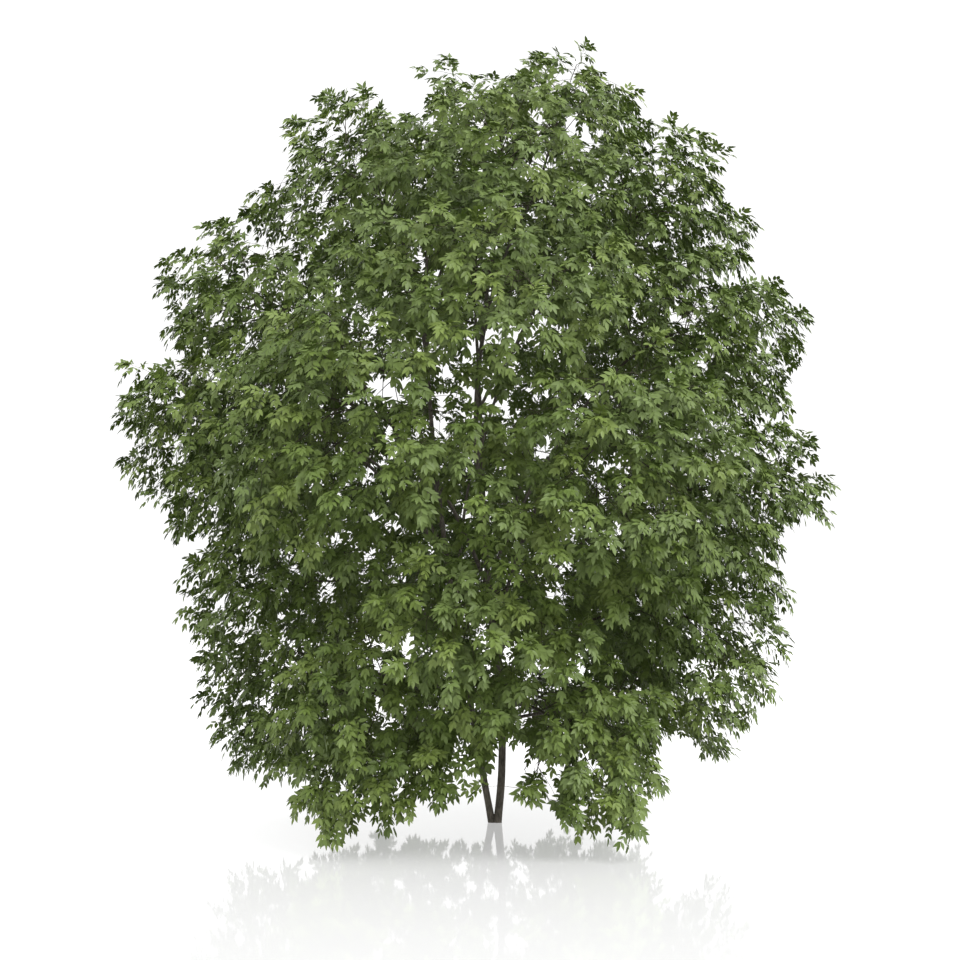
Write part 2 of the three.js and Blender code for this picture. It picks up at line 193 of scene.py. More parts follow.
# Leaves of a spray in pairs: how far back from its end, and how widely splayed
LEAF_NODES = (0.0, 0.012, 0.03, 0.055, 0.09)
LEAF_SPLAY = (16, 32, 46, 58, 68)
LEAF_SPLAY_PLAY = 8
LEAF_TURN_PLAY = 0.2
LEAF_NUDGE = 0.01  # keeps the sides of an upright spray defined
LEAF_LENGTH = 0.1
LEAF_LENGTH_PLAY = (0.8, 1.15)
LEAF_SAG = 0.45
LEAF_SAG_PLAY = (0.4, 1.5)
LEAF_FACES_UP = 0.75
LEAF_FACES_OUT = 0.65
LEAF_ROLL_PLAY = 0.35
STALK_PLACES = (0.0, 0.55, 1.0)

# Leaflets of a leaf: three or four pairs from its first station to its last, and one at the end
FOUR_PAIR_SHARE = 0.15
LEAFLET_STATIONS = (0.3, 0.9)
LEAFLET_SPLAY = (64, 42)
LEAFLET_SPLAY_PLAY = 0.12
LEAFLET_SIZES = (0.88, 1.04)
LEAFLET_LENGTH = 0.0575
LEAFLET_LENGTH_PLAY = (0.84, 1.16)
LEAFLET_WIDTH = 0.42
LEAFLET_FOLD = 0.24
LEAFLET_DROOP = 0.3
LEAFLET_DROOP_PLAY = (0.3, 1.7)
LEAFLET_ROLL_PLAY = 0.25
# Corners as shares of the length and of half the width: base, tip, then two to each side
LEAFLET_CORNERS = ((0, 0), (1, 0), (0.28, 0.95), (0.28, -0.95), (0.62, 0.8), (0.62, -0.8))
LEAFLET_FACES = np.array([[0, 2, 4], [0, 4, 1], [0, 5, 3], [0, 1, 5]])

# Openings in the crown, seen from the front: circles [x, z, radius] on the stems' plane
EYE = np.array([-0.128, -9.82, 1.5])
OPENINGS = np.array([
    [-0.9, 3.27, 0.08], [-0.79, 3.24, 0.09], [-0.46, 3.53, 0.06], [0.27, 3.69, 0.06], [0.32, 3.79, 0.07],
    [-1.02, 3.81, 0.04], [0.085, 3.19, 0.03], [-0.73, 2.74, 0.04], [-0.17, 3.55, 0.03],
    [0.36, 5.03, 0.07], [0.7, 5.23, 0.05], [-0.59, 4.27, 0.05], [1.6, 2.53, 0.05], [0.55, 2.16, 0.05],
    [-1.64, 2.03, 0.04], [-0.69, 2.19, 0.03], [0.91, 2.16, 0.05], [0.45, 1.72, 0.05], [0.55, 1.47, 0.05],
    [-0.64, 1.36, 0.05], [0.6, 1.13, 0.03], [0.43, 0.43, 0.05], [0.67, 0.47, 0.05], [0.12, 0.56, 0.07],
    [0.09, 0.33, 0.1], [0.17, 0.46, 0.1], [0.02, 0.53, 0.06], [0.01, 0.36, 0.06],
    [0.03, 5.21, 0.05], [0.6, 5.33, 0.05], [-0.42, 5.41, 0.05], [0.37, 5.37, 0.04], [0.53, 5.7, 0.04],
])
# Bays in the crown's edge, in the same way, where twigs stop too
BAYS = np.array([
    [-0.03, 0.13, 0.14], [0.36, -0.05, 0.12], [1.35, 0.49, 0.15], [1.64, 0.17, 0.29], [2.43, 1.93, 0.28],
    [2.4, 3.34, 0.15], [1.95, 4.86, 0.22], [1.07, 5.85, 0.22], [0.3, 6.25, 0.31], [0.03, 5.93, 0.2],
    [-0.75, 5.61, 0.18], [-1.14, 5.74, 0.14], [-1.48, 5.72, 0.12], [-1.87, 5.06, 0.22], [-2.25, 4.78, 0.2],
    [-2.68, 3.58, 0.15], [-2.69, 2.15, 0.22],
])
GAPS = np.concatenate([OPENINGS, BAYS])
GAP_MARGIN = 0.05
SHOOT_MARGIN = 0.01
PLACES_ALONG = np.linspace(0.2, 1, 9)
# A leaf is left out where this share of its tips is in a gap, or where a tip is below the lower edge
GAP_SHARE = 0.3
GAP_PLAY = (-0.02, 0.02)
EDGE_PLAY = (0.75, 1.15)

# Bark: ridges round a limb with their depths as shares of its radius, and how they wander and swell along it
BARK_RIDGES = ((3, 0.03), (5, 0.024), (8, 0.02), (13, 0.018))
BARK_WANDER = 1.6
BARK_WANDER_RATES = (3, 7)
BARK_SWELL_MEAN = 0.6
BARK_SWELL = 0.4
BARK_SWELL_RATES = (9, 30)
STEM_RINGS = 280
STEM_SIDES = 28
RING_CROWDING = 1.1
BOUGH_RINGS = 50
BOUGH_SIDES = 12
BOUGH_SEED = 11
COLLAR = 0.45
COLLAR_LENGTH = 0.05

# Leaf greens, dealt out by spray: colour, and its share of the sprays
LEAF_TINTS = [
    ((0.132, 0.191, 0.040), 0.18),
    ((0.118, 0.174, 0.036), 0.18),
    ((0.149, 0.212, 0.045), 0.18),
    ((0.105, 0.158, 0.032), 0.16),
    ((0.167, 0.230, 0.050), 0.15),
    ((0.140, 0.199, 0.053), 0.15),
]

# Other colours
BARK_GREY = (0.05, 0.045, 0.036)
BARK_FURROW = (0.03, 0.026, 0.021)
BARK_RIDGE = (0.2, 0.178, 0.146)
TWIG_BROWN = (0.06, 0.052, 0.034)
STALK_GREEN = (0.12, 0.15, 0.05)
FLOOR_GREY = (0.5, 0.5, 0.5)
STUDIO_WHITE = (1, 1, 1)
STUDIO_BELOW = (0.28, 0.28, 0.28)

# Floor, light and camera, with angles in degrees
FLOOR_SIDE = 200
FLOOR_DEPTH = 0.001
FLOOR_GLOW = 0.41
STUDIO_STRENGTH = 1.15
KEY_STRENGTH = 2.1
KEY_SPREAD = 35
KEY_TURN = (30, 36, 0)
SENSOR_WIDTH = 36
LENS = 48.98
CAMERA_PITCH = 96

# Limits for the tests of vectors: nothing, the same place, a nearly upright direction and a steep path
TINY = 1e-12
SAME_PLACE = 1e-6
NEARLY_UPRIGHT = 0.95
STEEP = 0.9

UP = np.array([0.0, 0.0, 1.0])
GOLDEN_ANGLE = math.pi * (3 - math.sqrt(5))
MASK = 0xFFFFFFFF
rng = np.random.default_rng(20)


# Small helpers on arrays of vectors

def unit(v):
    v = np.asarray(v, float)
    return v / np.maximum(np.linalg.norm(v, axis=-1, keepdims=True), TINY)


def lerp(a, b, t):
    return a + (b - a) * t


def bezier(points, t):
    """Points of a quadratic curve at the shares t."""
    t = np.atleast_1d(np.asarray(t, float))[:, None]
    a, b, c = points
    return (1 - t) ** 2 * a + 2 * t * (1 - t) * b + t ** 2 * c


def square_axes(direction):
    """Two unit vectors square to a direction and to each other."""
    reference = np.array([0.0, 1.0, 0.0]) if abs(direction[2]) > NEARLY_UPRIGHT else UP
    across = unit(np.cross(direction, reference))
    return across, np.cross(across, direction)


def square_to(v, direction):
    """The part of v square to a direction, as a unit vector."""
    return unit(v - np.sum(v * direction, -1, keepdims=True) * direction)


def turned(v, axis, angle):
    """v turned about a unit axis square to it."""
    angle = np.asarray(angle)[..., None]
    return v * np.cos(angle) + np.cross(axis, v) * np.sin(angle)


def seeded_random(seed):
    """The solids' repeatable random numbers from 0 to 1."""
    state = seed & MASK
    while True:
        state = (state + 0x6D2B79F5) & MASK
        t = ((state ^ (state >> 15)) * (state | 1)) & MASK
        t ^= (t + (((t ^ (t >> 7)) * (t | 61)) & MASK)) & MASK
        yield ((t ^ (t >> 14)) & MASK) / 2 ** 32


# The plant's plan: stems, places of the masses, and boughs

def stem_point(stem, z):
    z = np.asarray(z, float)
    x = stem["foot"][0] + stem["lean"] * z + stem["bow"] * z ** 2 + stem["recurve"] * z ** 3
    return np.stack([x, stem["foot"][1] + stem["drift"] * z, z], -1)


def stem_radius(stem, z):
    z = np.asarray(z, float)
    taper = stem["tip"] + (stem["base"] - stem["tip"]) * (1 - z / stem["top"]) ** STEM_TAPER
    return taper + stem["flare"] * np.exp(-z / FLARE_HEIGHT)


def tier_mass(tier, k):
    bearing = math.radians(tier["turn"] + 360 * k / tier["count"])
    outward = np.array([math.cos(bearing), math.sin(bearing), 0.0])
    tilt = math.radians(tier["tilt"])
    axis = math.cos(tilt) * outward + math.sin(tilt) * UP
    height = tier["pole"] - tier["slant"] * outward[0]
    pole = tier["reach"] * outward + np.array([tier["middle"], 0.0, height])
    return dict(name=f"{tier['name']}_{k + 1}", tier=tier, axis=axis, radius=tier["radius"],
                centre=pole - tier["radius"] * axis)


def top_mass(top):
    stem = STEMS[top["stem"]]
    foot = stem_point(stem, stem["top"])
    pole = np.array(top["pole"])
    axis = unit(pole - foot)
    return dict(name=top["name"], tier=None, axis=axis, radius=top["radius"], foot=foot,
                centre=pole - top["radius"] * axis, foot_radius=stem["tip"])


def place_masses():
    masses = [tier_mass(tier, k) for tier in TIERS for k in range(tier["count"])]
    masses.extend(top_mass(top) for top in TOPS)
    for i, mass in enumerate(masses):
        mass["seed"] = FIRST_SEED + SEED_STEP * i
    return masses


def choose_attachments(masses):
    """The nearer stem of each tiered mass, and the height at which its bough leaves that stem."""
    tiered = [mass for mass in masses if mass["tier"]]
    for mass in tiered:
        mass["entry"] = mass["centre"] - BOUGH_ENTRY * mass["radius"] * mass["axis"]
        away = []
        for stem in STEMS:
            at = stem_point(stem, min(mass["entry"][2], stem["top"]))
            away.append(math.hypot(at[0] - mass["entry"][0], at[1] - mass["entry"][1]))
        nearer = 0 if away[0] < away[1] else 1
        mass["stem"] = STEMS[nearer]
        drop = away[nearer] * math.tan(math.radians(mass["tier"]["rise"]))
        mass["attach"] = min(mass["entry"][2] - drop, mass["stem"]["top"] - STEM_TIP_BARE)
    for stem in STEMS:
        lowest = ATTACH_LOW
        carried = [mass for mass in tiered if mass["stem"] is stem]
        for mass in sorted(carried, key=lambda m: m["attach"]):
            mass["attach"] = max(mass["attach"], lowest)
            lowest = mass["attach"] + ATTACH_SPACING


def add_boughs(masses):
    """Each tiered mass's bough as the three points of its curve, steep at the stem and level further out."""
    choose_attachments(masses)
    boughs = []
    for mass in masses:
        if not mass["tier"]:
            continue
        root = stem_point(mass["stem"], mass["attach"])
        end = mass["entry"]
        bend = lerp(root, end, BOUGH_BEND)
        span = math.hypot(end[0] - root[0], end[1] - root[1])
        bend[2] = lerp(root[2], end[2], BOUGH_BEND_RISE) + BOUGH_ARCH * span
        boughs.append(dict(name=f"bough_{mass['name']}", curve=(root, bend, end), base=mass["tier"]["bough"]))
        mass["foot"] = end
        mass["foot_direction"] = unit(end - bend)
        mass["foot_radius"] = BOUGH_TIP
    return boughs


def limb_samples(boughs):
    """Points along every stem and bough with their radii, for the tests of nearness."""
    points = []
    radii = []
    for stem in STEMS:
        z = np.arange(0, stem["top"], LIMB_STEP)
        points.append(stem_point(stem, z))
        radii.append(stem_radius(stem, z))
    for bough in boughs:
        share = np.linspace(0, 1, BOUGH_SAMPLES)
        points.append(bezier(bough["curve"], share))
        radii.append(lerp(bough["base"], BOUGH_TIP, share))
    return np.concatenate(points), np.concatenate(radii)


# Tests of a place: above the crown's lower edge, in its mass's own space, near a limb, or in an opening

def lower_edge(points):
    nearest = np.min(np.linalg.norm(points[..., None, :2] - HANGING, axis=-1), -1)
    return lerp(GROUND_CLEARANCE, LOWER_EDGE, np.minimum(1, nearest / HANGING_SPREAD) ** 2)


def in_space(mass, points, centres):
    """Which points are in the mass's ball, on its own side of its neighbours and above the lower edge."""
    points = np.atleast_2d(points)
    own = np.sum((points - mass["centre"]) ** 2, -1)
    inside = (own < mass["radius"] ** 2) & (points[:, 2] > lower_edge(points))
    between = np.linalg.norm(centres - mass["centre"], axis=-1)
    others = between > SAME_PLACE
    away = np.sum((points[:, None] - centres[None, others]) ** 2, -1) - own[:, None]
    return inside & np.all(away / (2 * between[others]) > CELL_MARGIN, -1)


def space_reach(mass, point, direction, centres):
    """How far a point can go in a direction within the mass's own space."""
    offset = point - mass["centre"]
    along = offset @ direction
    reach = -along + math.sqrt(max(0.0, along * along + mass["radius"] ** 2 - offset @ offset))
    apart = centres - mass["centre"]
    between = np.linalg.norm(apart, axis=-1)
    others = between > SAME_PLACE
    apart = apart[others]
    between = between[others]
    gone = apart @ direction / between
    room = between / 2 - apart @ offset / between - CELL_MARGIN
    facing = gone > 0
    reach = min(reach, float(np.min(room[facing] / gone[facing], initial=reach)))
    while reach > 0 and point[2] + reach * direction[2] < lower_edge(point + reach * direction):
        reach -= EDGE_STEP
    return reach


def near_limb(points, clearance, samples):
    gaps = np.linalg.norm(points[:, None] - samples[0][None], axis=-1) - samples[1]
    return bool(np.any(gaps < clearance))


def in_gap(points, gaps, wider=0.0):
    """Which points the eye sees within the circles, each made wider by this much."""
    share = -EYE[1] / (points[..., 1] - EYE[1])
    x = EYE[0] + (points[..., 0] - EYE[0]) * share
    z = EYE[2] + (points[..., 2] - EYE[2]) * share
    away = np.hypot(x[..., None] - gaps[:, 0], z[..., None] - gaps[:, 1]) - gaps[:, 2]
    return np.min(away, -1) < wider


# The growing rule: twigs round a mass's stem, shoots on the twigs, and sprays on the shoots

class Plant:
    """Everything that grows: paths of wood, and the sprays that bear leaves."""

    def __init__(self):
        self.mass_stems = []
        self.twigs = []
        self.shoots = []
        self.side_shoots = []
        self.spray_ends = []
        self.spray_headings = []
        self.taken = np.zeros((0, 3))


def mass_stem(mass):
    end = mass["centre"] + MASS_STEM_REACH * mass["radius"] * mass["axis"]
    bend = lerp(mass["foot"], end, 0.5)
    if mass["tier"]:
        bend = mass["foot"] + MASS_STEM_BEND * np.linalg.norm(end - mass["foot"]) * mass["foot_direction"]
    return mass["foot"], bend, end


def spray_fits(end, heading, mass, plant, centres):
    """Whether a spray has room in its mass's space, out of the gaps and away from the other sprays."""
    middle = end + SPRAY_MIDDLE * SPRAY_REACH * heading
    if not in_space(mass, middle, centres)[0] or in_gap(middle, GAPS, GAP_MARGIN):
        return False
    depth = np.linalg.norm((middle - CROWN_MIDDLE) / CROWN_REACH)
    spacing = np.interp(depth, SPACING_DEPTHS, SPRAY_SPACINGS)
    if len(plant.taken) and np.min(np.sum((plant.taken - middle) ** 2, -1)) < spacing ** 2:
        return False
    plant.taken = np.vstack([plant.taken, middle])
    return True


def add_spray(end, heading, mass, plant, centres):
    if not spray_fits(end, heading, mass, plant, centres):
        return False
    plant.spray_ends.append(end)
    plant.spray_headings.append(heading)
    return True


def add_side_shoot(fork, direction, outward, mass, plant, centres):
    """A short shoot to the side of another, with a spray at its end."""
    end = fork + SIDE_LENGTH * (SIDE_LENGTH_LEAST + SIDE_LENGTH_PLAY * rng.random()) * direction
    if not add_spray(end, unit(direction + SPRAY_LIFT * outward), mass, plant, centres):
        return False
    bend = lerp(fork, end, 0.5) + SIDE_ARCH * UP
    plant.side_shoots.append(bezier((fork, bend, end), np.linspace(0, 1, SIDE_POINTS)))
    return True


def add_shoot(root, heading, droop, mass, plant, centres, random, wanted=True):
    """A shoot where the solids have a leaf, with a spray at its tip and others to its sides."""
    direction = unit(heading - UP * droop * (SHOOT_DROOP_LEAST + SHOOT_DROOP_PLAY * next(random)))
    longest = SHOOT_LENGTH * (SHOOT_LENGTH_LEAST + SHOOT_LENGTH_PLAY * next(random))
    roll = math.radians(SHOOT_ROLL * (2 * next(random) - 1))
    length = min(longest, SHOOT_SPACE * space_reach(mass, root, direction, centres)) - SPRAY_REACH
    if length < SHOOT_SHORTEST or not wanted:
        return False
    end = root + length * direction
    curve = (root, root + 0.5 * length * unit(heading + direction), end)
    if np.any(in_gap(bezier(curve, PLACES_ALONG), GAPS, SHOOT_MARGIN)):
        return False
    outward = unit(np.array([root[0] - CROWN_AXIS_X, root[1], 0.0])) + OUTWARD_RISE * UP
    across = turned(unit(np.cross(direction, outward)), direction, roll)
    furthest = 0.0
    if add_spray(end, unit(direction + SPRAY_LIFT * outward), mass, plant, centres):
        furthest = 1.0
    for place in SIDE_PLACES:
        for side in (-1, 1):
            turn = unit(SIDE_AHEAD * direction + SIDE_ACROSS * side * across)
            if add_side_shoot(bezier(curve, place)[0], turn, outward, mass, plant, centres):
                furthest = max(furthest, place)
    if furthest:
        plant.shoots.append(bezier(curve, np.linspace(0, furthest, SHOOT_POINTS)))
    return furthest > 0


def twig_curve(k, share, mass, plan, random):
    """The direction and curve of a mass's twig, or nothing where it is too short or too near a limb."""
    centres, samples = plan
    root = bezier(mass_stem(mass), TWIG_FIRST + TWIG_RUN * share)[0]
    across, over = square_axes(mass["axis"])
    spin = k * GOLDEN_ANGLE + TWIG_SPIN_PLAY * math.pi * next(random) + mass["seed"]
    play = TWIG_OPEN_PLAY * (next(random) - 0.5)
    open_angle = math.radians(lerp(TWIG_OPEN_FOOT, TWIG_OPEN_TIP, share) + play)
    round_stem = math.cos(spin) * across + math.sin(spin) * over
    direction = math.cos(open_angle) * mass["axis"] + math.sin(open_angle) * round_stem
    length = TWIG_SHARE * min(space_reach(mass, root, direction, centres), TWIG_LONGEST)
    tip = root + length * direction
    tested = np.array([lerp(root, tip, TWIG_TEST), tip])
    if length < TWIG_SHORTEST or near_limb(tested, TWIG_TO_LIMB, samples):
        return None
    return direction, (root, lerp(root, tip, 0.5) + TWIG_ARCH * length * UP, tip)


def grow_twig(k, share, mass, plan, plant, random):
    """A twig with shoots to alternate sides and one at its tip. It stops where it would cross a bay."""
    twig = twig_curve(k, share, mass, plan, random)
    if twig is None:
        return
    direction, curve = twig
    sideways = unit(np.cross(direction, UP))
    blocked = PLACES_ALONG[in_gap(bezier(curve, PLACES_ALONG), BAYS, GAP_MARGIN)]
    stop = np.min(blocked, initial=1.0)
    furthest = 0.0
    for n in reversed(range(SHOOTS_PER_TWIG)):
        turn = 0.0 if n == SHOOTS_PER_TWIG - 1 else math.radians(SHOOT_TURN if n % 2 else -SHOOT_TURN)
        heading = math.cos(turn) * direction + math.sin(turn) * sideways
        place = lerp(SHOOT_FIRST, SHOOT_LAST, n / (SHOOTS_PER_TWIG - 1))
        root = bezier(curve, place)[0]
        if add_shoot(root, heading, 1.0, mass, plant, plan[0], random, place < stop):
            furthest = max(furthest, place)
    if furthest:
        plant.twigs.append(bezier(curve, np.linspace(0, furthest, TWIG_POINTS)))


def grow_tip_shoots(mass, plan, plant, random):
    """Shoots all round the tip of the limb that carries a mass, from upright to nearly level."""
    for k in range(TIP_SHOOTS):
        spin = k * GOLDEN_ANGLE
        open_angle = math.radians(lerp(*TIP_OPEN, k / (TIP_SHOOTS - 1)))
        outward = np.array([math.cos(spin), math.sin(spin), 0.0])
        heading = math.cos(open_angle) * UP + math.sin(open_angle) * outward
        add_shoot(mass["foot"], heading, TIP_DROOP, mass, plant, plan[0], random)


def grow_mass(mass, plan, plant):
    random = seeded_random(mass["seed"])
    stem = mass_stem(mass)
    plant.mass_stems.append(bezier(stem, np.linspace(0, 1, MASS_STEM_POINTS)))
    add_shoot(bezier(stem, SHOOT_LAST)[0], mass["axis"], 0.0, mass, plant, plan[0], random)
    for k in range(TWIGS):
        grow_twig(k, (k + 0.5) / TWIGS, mass, plan, plant, random)
    fine_twigs = UPPER_FINE_TWIGS if mass["centre"][2] > UPPER_FROM else FINE_TWIGS
    for k in range(fine_twigs):
        grow_twig(TWIGS + k, (k + 0.5) / fine_twigs, mass, plan, plant, random)
    if mass["centre"][2] > UPPER_FROM:
        grow_tip_shoots(mass, plan, plant, random)


def hang_shoot(place, plant):
    """A drooping shoot from the nearest spray down to a place [x, y] close to the ground."""
    end = np.array([*place, HANGING_END])
    ends = np.array(plant.spray_ends)
    root = ends[np.argmin(np.linalg.norm(ends - end - HANGING_DROP * UP, axis=-1))]
    curve = (root, np.array([*place, root[2]]), end)
    plant.shoots.append(bezier(curve, np.linspace(0, 1, SHOOT_POINTS)))
    for share in HANGING_SPRAYS:
        plant.spray_ends.append(bezier(curve, share)[0])
        plant.spray_headings.append(unit(end - lerp(root, curve[1], share)))


def grow_plant(masses, boughs):
    plan = (np.array([mass["centre"] for mass in masses]), limb_samples(boughs))
    plant = Plant()
    for mass in masses:
        grow_mass(mass, plan, plant)
    for place in HANGING:
        hang_shoot(place, plant)
    return plant


# Joined meshes from arrays

def tubes(paths, radii, sides):
    """Round limbs along many paths of equal count. paths is (limbs, rings, 3) and radii (limbs, rings)."""
    tangent = unit(np.gradient(paths, axis=1))
    steep = np.abs(unit(paths[:, -1] - paths[:, 0])[:, 2]) > STEEP
    reference = np.where(steep[:, None], np.array([1.0, 0.0, 0.0]), UP)[:, None]
    across = unit(np.cross(tangent, reference))
    over = np.cross(across, tangent)
    angle = np.arange(sides) * 2 * math.pi / sides
    ring = across[:, :, None] * np.cos(angle)[:, None] + over[:, :, None] * np.sin(angle)[:, None]
    points = paths[:, :, None] + ring * radii[:, :, None, None]
    return points.reshape(-1, 3), tube_faces(len(paths), paths.shape[1], sides)


def tube_faces(limbs, rings, sides):
    corner = np.arange(limbs * rings * sides).reshape(limbs, rings, sides)
    onward = np.roll(corner, -1, axis=2)
    quads = [corner[:, :-1], corner[:, 1:], onward[:, 1:], onward[:, :-1]]
    return np.stack(quads, -1).reshape(-1, 4)


def ribbons(paths, width):
    """Narrow strips along many paths, lying as level as each path allows."""
    across = unit(np.cross(np.gradient(paths, axis=1), UP)) * width / 2
    points = np.stack([paths - across, paths + across], 2)
    corner = np.arange(points[..., 0].size).reshape(points.shape[:3])
    quads = [corner[:, :-1, 0], corner[:, :-1, 1], corner[:, 1:, 1], corner[:, 1:, 0]]
    return points.reshape(-1, 3), np.stack(quads, -1).reshape(-1, 4)


def tapered(paths, foot, tip):
    paths = np.array(paths)
    radii = np.broadcast_to(np.linspace(foot, tip, paths.shape[1]), paths.shape[:2])
    return paths, radii


def join(parts):
    """One list of points and faces from several."""
    points = []
    faces = []
    count = 0
    for part_points, part_faces in parts:
        points.append(part_points)
        faces.append(part_faces + count)
        count += len(part_points)
    return np.concatenate(points), np.concatenate(faces)


def add_piece(name, points, faces, material):
    mesh = bpy.data.meshes.new(name)
    mesh.vertices.add(len(points))
    mesh.vertices.foreach_set("co", points.astype(np.float32).ravel())
    mesh.loops.add(faces.size)
    mesh.loops.foreach_set("vertex_index", faces.astype(np.int32).ravel())
    mesh.polygons.add(len(faces))
    starts = np.arange(0, faces.size, faces.shape[1], dtype=np.int32)
    mesh.polygons.foreach_set("loop_start", starts)
    mesh.update(calc_edges=True)
    mesh.validate()
    mesh.shade_smooth()
    mesh.materials.append(material)
    piece = bpy.data.objects.new(name, mesh)
    bpy.context.scene.collection.objects.link(piece)
    return piece


def dress(piece, nodes):
    """The piece moves with the plant's one body and stands for these nodes, whose solids are hidden."""
    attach(piece, "root")
    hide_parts(*nodes)


# Leaves: pinnate, with pairs of drooping leaflets and one at the end

def leaf_roots(ends, headings):
    """Places and directions of the leaves of every spray: opposite pairs, each pair turned from the last."""
    count = len(ends)
    side = square_to(np.broadcast_to(UP, headings.shape) + LEAF_NUDGE, headings)
    other = np.cross(headings, side)
    first = rng.uniform(0, math.pi, count)
    roots = []
    directions = []
    for j, (back, splay) in enumerate(zip(LEAF_NODES, LEAF_SPLAY)):
        for half in (0, 1):
            turn = first + j * math.pi / 2 + half * math.pi + rng.normal(0, LEAF_TURN_PLAY, count)
            open_angle = np.radians(splay + rng.normal(0, LEAF_SPLAY_PLAY, count))
            radial = np.cos(turn)[:, None] * side + np.sin(turn)[:, None] * other
            direction = np.cos(open_angle)[:, None] * headings + np.sin(open_angle)[:, None] * radial
            roots.append(ends - back * headings)
            directions.append(unit(direction))
    return np.stack(roots, 1).reshape(-1, 3), np.stack(directions, 1).reshape(-1, 3)


def leaflet_plan(pairs):
    """Where each leaflet stands along its leaf, its side, its splay in degrees and its size."""
    plan = []
    for t in np.linspace(*LEAFLET_STATIONS, pairs):
        for side in (-1, 1):
            plan.append((t, side, lerp(*LEAFLET_SPLAY, t), lerp(*LEAFLET_SIZES, t)))
    return np.array(plan + [(1.0, 0, 0, 1.0)]).T


def along_leaf(roots, directions, length, sag, places):
    """Points at the given shares along each leaf's sagging stalk."""
    t = np.array(places)[None, :, None]
    return roots[:, None] + length * (directions[:, None] * t - UP * sag * t ** 2)


def leaf_shown(tips):
    """Which leaves stand above the crown's lower edge, out of the gaps and close to the solids' box."""
    count = len(tips)
    above = np.all(tips[..., 2] > lower_edge(tips) * rng.uniform(*EDGE_PLAY, (count, 1)), 1)
    clear = np.mean(in_gap(tips, GAPS, rng.normal(*GAP_PLAY, (count, 1))), 1) < GAP_SHARE
    near = np.all((tips > LOWEST_CORNER - PROUD) & (tips < HIGHEST_CORNER + PROUD), (1, 2))
    return above & clear & near


def make_leaves(roots, directions, pairs):
    """Corners of the leaflets of all leaves with that many pairs, and the paths of the leaves' stalks."""
    count = len(roots)
    station, side, splay, size = leaflet_plan(pairs)
    each = (count, len(station), 1)
    length = LEAF_LENGTH * rng.uniform(*LEAF_LENGTH_PLAY, (count, 1, 1))
    sag = LEAF_SAG * rng.uniform(*LEAF_SAG_PLAY, (count, 1, 1))
    base = along_leaf(roots, directions, length, sag, station)
    tangent = unit(directions[:, None] - 2 * sag * station[None, :, None] * UP)
    outward = unit((roots - [CROWN_AXIS_X, 0, 0]) * [1, 1, 0])[:, None]
    facing = np.broadcast_to(LEAF_FACES_UP * UP + LEAF_FACES_OUT * outward, tangent.shape)
    face = turned(square_to(facing, tangent), tangent, rng.normal(0, LEAF_ROLL_PLAY, (count, 1)))
    sideways = np.cross(tangent, face)
    open_angle = np.radians(splay)[None, :, None] + rng.normal(0, LEAFLET_SPLAY_PLAY, each)
    run = np.cos(open_angle) * tangent + side[None, :, None] * np.sin(open_angle) * sideways
    run = unit(run - UP * LEAFLET_DROOP * rng.uniform(*LEAFLET_DROOP_PLAY, each))
    upper = turned(square_to(face, run), run, rng.normal(0, LEAFLET_ROLL_PLAY, each[:2]))
    grown = LEAFLET_LENGTH * size[None, :, None] * rng.uniform(*LEAFLET_LENGTH_PLAY, each)
    shown = leaf_shown(base + grown * run)
    parts = [values[shown].reshape(-1, values.shape[-1]) for values in (base, run, upper, grown)]
    stalks = along_leaf(roots, directions, length, sag, STALK_PLACES)
    return leaflets(*parts), stalks[shown]


def leaflets(base, run, upper, length):
    """The corners of a pointed oval for each leaflet, folded along its midrib."""
    across = np.cross(run, upper)
    width = LEAFLET_WIDTH * length / 2
    corners = []
    for share, sideways in LEAFLET_CORNERS:
        spread = sideways * across + abs(sideways) * LEAFLET_FOLD * upper
        corners.append(base + share * length * run + width * spread)
    return np.stack(corners, 1)


def leaflet_mesh(points):
    faces = LEAFLET_FACES[None] + points.shape[1] * np.arange(len(points))[:, None, None]
    return points.reshape(-1, 3), faces.reshape(-1, 3)


# Bark: limbs of many facets with ridges along them

def bark_relief(angle, along, seed):
    """Ridges and furrows round and along a limb, as a share of its radius."""
    noise = np.random.default_rng(seed)
    relief = np.zeros(np.broadcast_shapes(angle.shape, along.shape))
    for count, depth in BARK_RIDGES:
        phase = noise.uniform(0, 2 * math.pi, 3)
        wander = BARK_WANDER * np.sin(along * noise.uniform(*BARK_WANDER_RATES) + phase[0])
        swell = BARK_SWELL_MEAN + BARK_SWELL * np.sin(along * noise.uniform(*BARK_SWELL_RATES) + phase[1])
        relief = relief + depth * swell * np.sin(count * angle + wander + phase[2])
    return relief


def bark_limb(path, radii, sides, seed):
    """One limb with relief. path is (rings, 3)."""
    points, faces = tubes(path[None], radii[None], sides)
    points = points.reshape(len(path), sides, 3)
    along = np.concatenate([[0], np.cumsum(np.linalg.norm(np.diff(path, axis=0), axis=-1))])
    angle = np.arange(sides) * 2 * math.pi / sides
    relief = bark_relief(angle[None, :], along[:, None], seed)
    points = path[:, None] + (points - path[:, None]) * (1 + relief[..., None])
    return points, faces


# Materials

def principled(name, colour, roughness, specular):
    material = bpy.data.materials.new(name)
    material.use_nodes = True
    shader = material.node_tree.nodes["Principled BSDF"]
    shader.inputs["Base Color"].default_value = (*colour, 1)
    shader.inputs["Roughness"].default_value = roughness
    shader.inputs["Specular IOR Level"].default_value = specular
    return material


def set_ramp(node, *stops):
    """Positions and colours of a colour ramp."""
    for element, (position, colour) in zip(node.color_ramp.elements, stops):
        element.position = position
        element.color = (*colour, 1)


